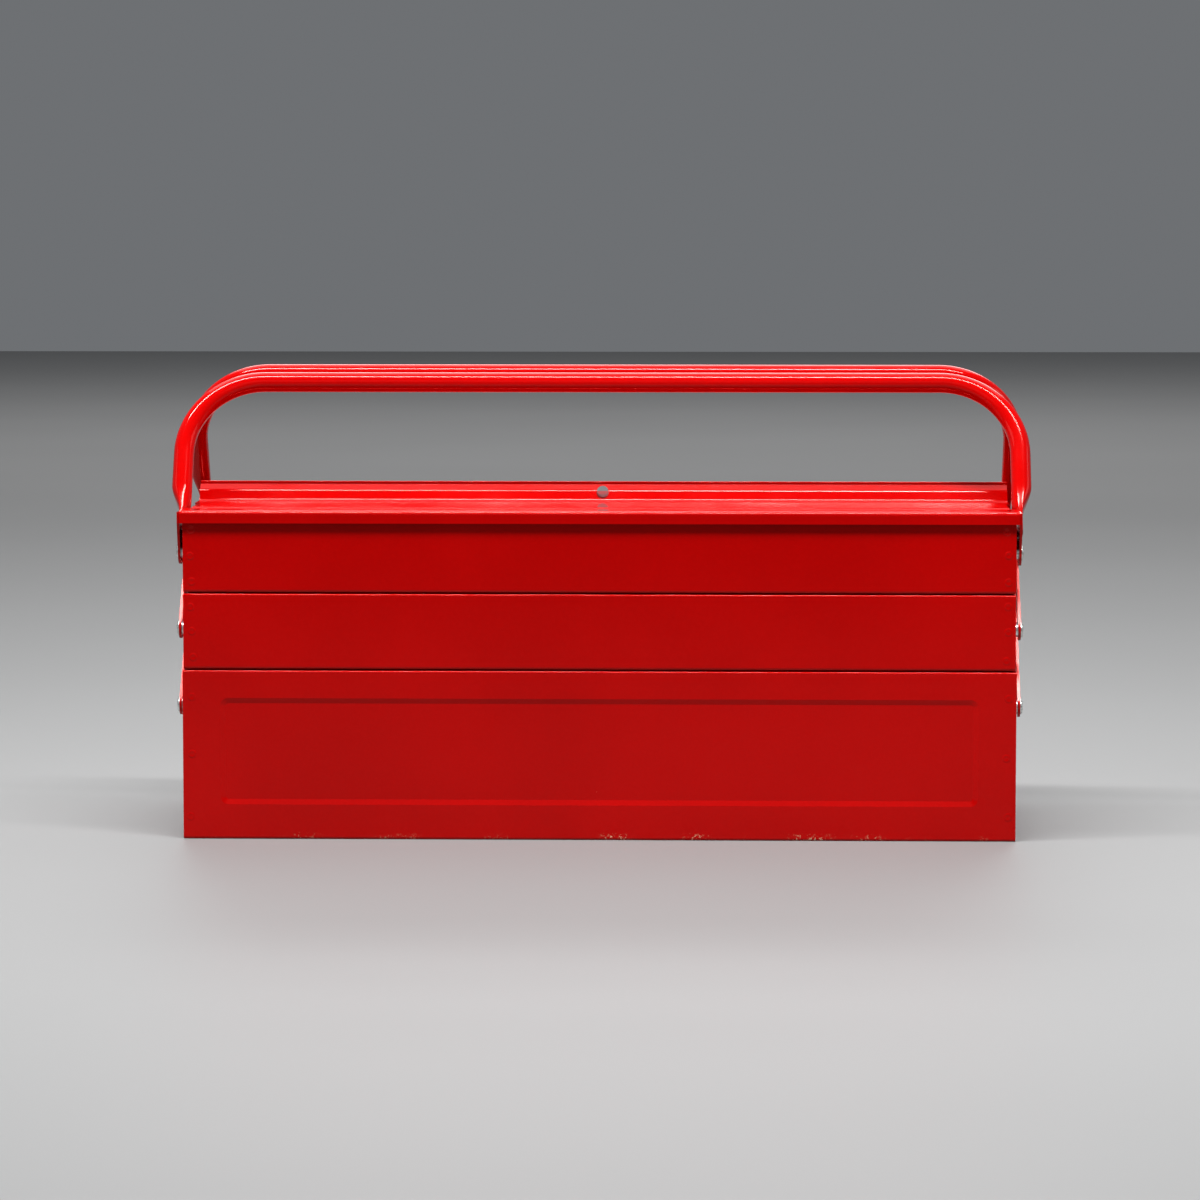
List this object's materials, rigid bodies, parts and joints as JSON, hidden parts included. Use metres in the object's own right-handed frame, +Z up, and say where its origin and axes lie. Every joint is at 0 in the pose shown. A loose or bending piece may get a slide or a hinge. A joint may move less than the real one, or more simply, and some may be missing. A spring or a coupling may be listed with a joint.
{
  "type": "cantilever toolbox",
  "caption": "Red steel cantilever toolbox: a deep base, folding side trays that swing out on arms, tipping lids and tubular carrying handles.",
  "frame": {"origin": "middle of the base's underside, on the surface that the closed box stands on", "axes": "+X along the box to its right end, -Y towards the front, +Z up"},
  "size_m": [0.553, 0.2044, 0.2985],
  "materials": {
    "red_paint": "gloss powder coat",
    "zinc_steel": "bright zinc plating"
  },
  "bodies": {
    "base": {"base_shell": "red_paint", "base_end_left": "red_paint", "base_end_right": "red_paint", "base_rivets": "zinc_steel", "base_spacers": "zinc_steel"},
    "front_middle_tray": {"front_middle_pan": "red_paint", "front_middle_end_left": "red_paint", "front_middle_end_right": "red_paint", "front_middle_rivets": "zinc_steel", "front_middle_spacers": "zinc_steel"},
    "front_top_tray": {"front_top_pan": "red_paint", "front_top_end_left": "red_paint", "front_top_end_right": "red_paint", "front_top_rivets": "zinc_steel", "front_top_spacers": "zinc_steel"},
    "front_long_arms": {"front_long_arm_left": "red_paint", "front_long_arm_right": "red_paint"},
    "front_lower_arms": {"front_lower_arm_left": "red_paint", "front_lower_arm_right": "red_paint"},
    "front_upper_arms": {"front_upper_arm_left": "red_paint", "front_upper_arm_right": "red_paint", "front_arm_pins": "zinc_steel"},
    "front_lid_links": {"front_lid_link_left": "red_paint", "front_lid_link_right": "red_paint"},
    "front_lid": {"front_lid": "red_paint", "front_ear_left": "red_paint", "front_ear_right": "red_paint", "front_handle": "red_paint", "front_ear_pins": "zinc_steel"},
    "rear_middle_tray": {"rear_middle_pan": "red_paint", "rear_middle_end_left": "red_paint", "rear_middle_end_right": "red_paint", "rear_middle_rivets": "zinc_steel", "rear_middle_spacers": "zinc_steel"},
    "rear_top_tray": {"rear_top_pan": "red_paint", "rear_top_end_left": "red_paint", "rear_top_end_right": "red_paint", "rear_top_rivets": "zinc_steel", "rear_top_spacers": "zinc_steel"},
    "rear_long_arms": {"rear_long_arm_left": "red_paint", "rear_long_arm_right": "red_paint"},
    "rear_lower_arms": {"rear_lower_arm_left": "red_paint", "rear_lower_arm_right": "red_paint"},
    "rear_upper_arms": {"rear_upper_arm_left": "red_paint", "rear_upper_arm_right": "red_paint", "rear_arm_pins": "zinc_steel"},
    "rear_lid_links": {"rear_lid_link_left": "red_paint", "rear_lid_link_right": "red_paint"},
    "rear_lid": {"rear_lid": "red_paint", "rear_ear_left": "red_paint", "rear_ear_right": "red_paint", "rear_handle": "red_paint", "rear_ear_pins": "zinc_steel"}
  },
  "joints": [
    {"name": "front_open", "type": "hinge", "parent": "base", "child": "front_long_arms", "pos_m": [0, -0.088, 0.085], "axis": [1, 0, 0], "range_deg": [0, 78]},
    {"name": "front_middle_tray_level", "type": "hinge", "parent": "front_long_arms", "child": "front_middle_tray", "pos_m": [0, -0.048, 0.134], "axis": [1, 0, 0], "range_deg": [-78, 0]},
    {"name": "front_top_tray_level", "type": "hinge", "parent": "front_long_arms", "child": "front_top_tray", "pos_m": [0, -0.008, 0.183], "axis": [1, 0, 0], "range_deg": [-78, 0]},
    {"name": "front_lower_arm_swing", "type": "hinge", "parent": "base", "child": "front_lower_arms", "pos_m": [0, -0.048, 0.085], "axis": [1, 0, 0], "range_deg": [0, 78]},
    {"name": "front_upper_arm_swing", "type": "hinge", "parent": "front_middle_tray", "child": "front_upper_arms", "pos_m": [0, -0.088, 0.134], "axis": [1, 0, 0], "range_deg": [0, 78]},
    {"name": "front_lid_tip", "type": "hinge", "parent": "front_top_tray", "child": "front_lid", "pos_m": [0, -0.088, 0.183], "axis": [1, 0, 0], "range_deg": [0, 78]},
    {"name": "front_lid_link_level", "type": "hinge", "parent": "front_upper_arms", "child": "front_lid_links", "pos_m": [0, -0.04041, 0.1923], "axis": [1, 0, 0], "range_deg": [-78, 0]},
    {"name": "rear_open", "type": "hinge", "parent": "base", "child": "rear_long_arms", "pos_m": [0, 0.088, 0.085], "axis": [-1, 0, 0], "range_deg": [0, 78]},
    {"name": "rear_middle_tray_level", "type": "hinge", "parent": "rear_long_arms", "child": "rear_middle_tray", "pos_m": [0, 0.048, 0.134], "axis": [-1, 0, 0], "range_deg": [-78, 0]},
    {"name": "rear_top_tray_level", "type": "hinge", "parent": "rear_long_arms", "child": "rear_top_tray", "pos_m": [0, 0.008, 0.183], "axis": [-1, 0, 0], "range_deg": [-78, 0]},
    {"name": "rear_lower_arm_swing", "type": "hinge", "parent": "base", "child": "rear_lower_arms", "pos_m": [0, 0.048, 0.085], "axis": [-1, 0, 0], "range_deg": [0, 78]},
    {"name": "rear_upper_arm_swing", "type": "hinge", "parent": "rear_middle_tray", "child": "rear_upper_arms", "pos_m": [0, 0.088, 0.134], "axis": [-1, 0, 0], "range_deg": [0, 78]},
    {"name": "rear_lid_tip", "type": "hinge", "parent": "rear_top_tray", "child": "rear_lid", "pos_m": [0, 0.088, 0.183], "axis": [-1, 0, 0], "range_deg": [0, 78]},
    {"name": "rear_lid_link_level", "type": "hinge", "parent": "rear_upper_arms", "child": "rear_lid_links", "pos_m": [0, 0.04041, 0.1923], "axis": [-1, 0, 0], "range_deg": [-78, 0]}
  ],
  "couplings": [
    {"joint": "front_middle_tray_level", "follows": "front_open", "ratio": -1},
    {"joint": "front_top_tray_level", "follows": "front_open", "ratio": -1},
    {"joint": "front_lower_arm_swing", "follows": "front_open", "ratio": 1},
    {"joint": "front_upper_arm_swing", "follows": "front_open", "ratio": 1},
    {"joint": "front_lid_tip", "follows": "front_open", "ratio": 1},
    {"joint": "front_lid_link_level", "follows": "front_open", "ratio": -1},
    {"joint": "rear_middle_tray_level", "follows": "rear_open", "ratio": -1},
    {"joint": "rear_top_tray_level", "follows": "rear_open", "ratio": -1},
    {"joint": "rear_lower_arm_swing", "follows": "rear_open", "ratio": 1},
    {"joint": "rear_upper_arm_swing", "follows": "rear_open", "ratio": 1},
    {"joint": "rear_lid_tip", "follows": "rear_open", "ratio": 1},
    {"joint": "rear_lid_link_level", "follows": "rear_open", "ratio": -1}
  ]
}
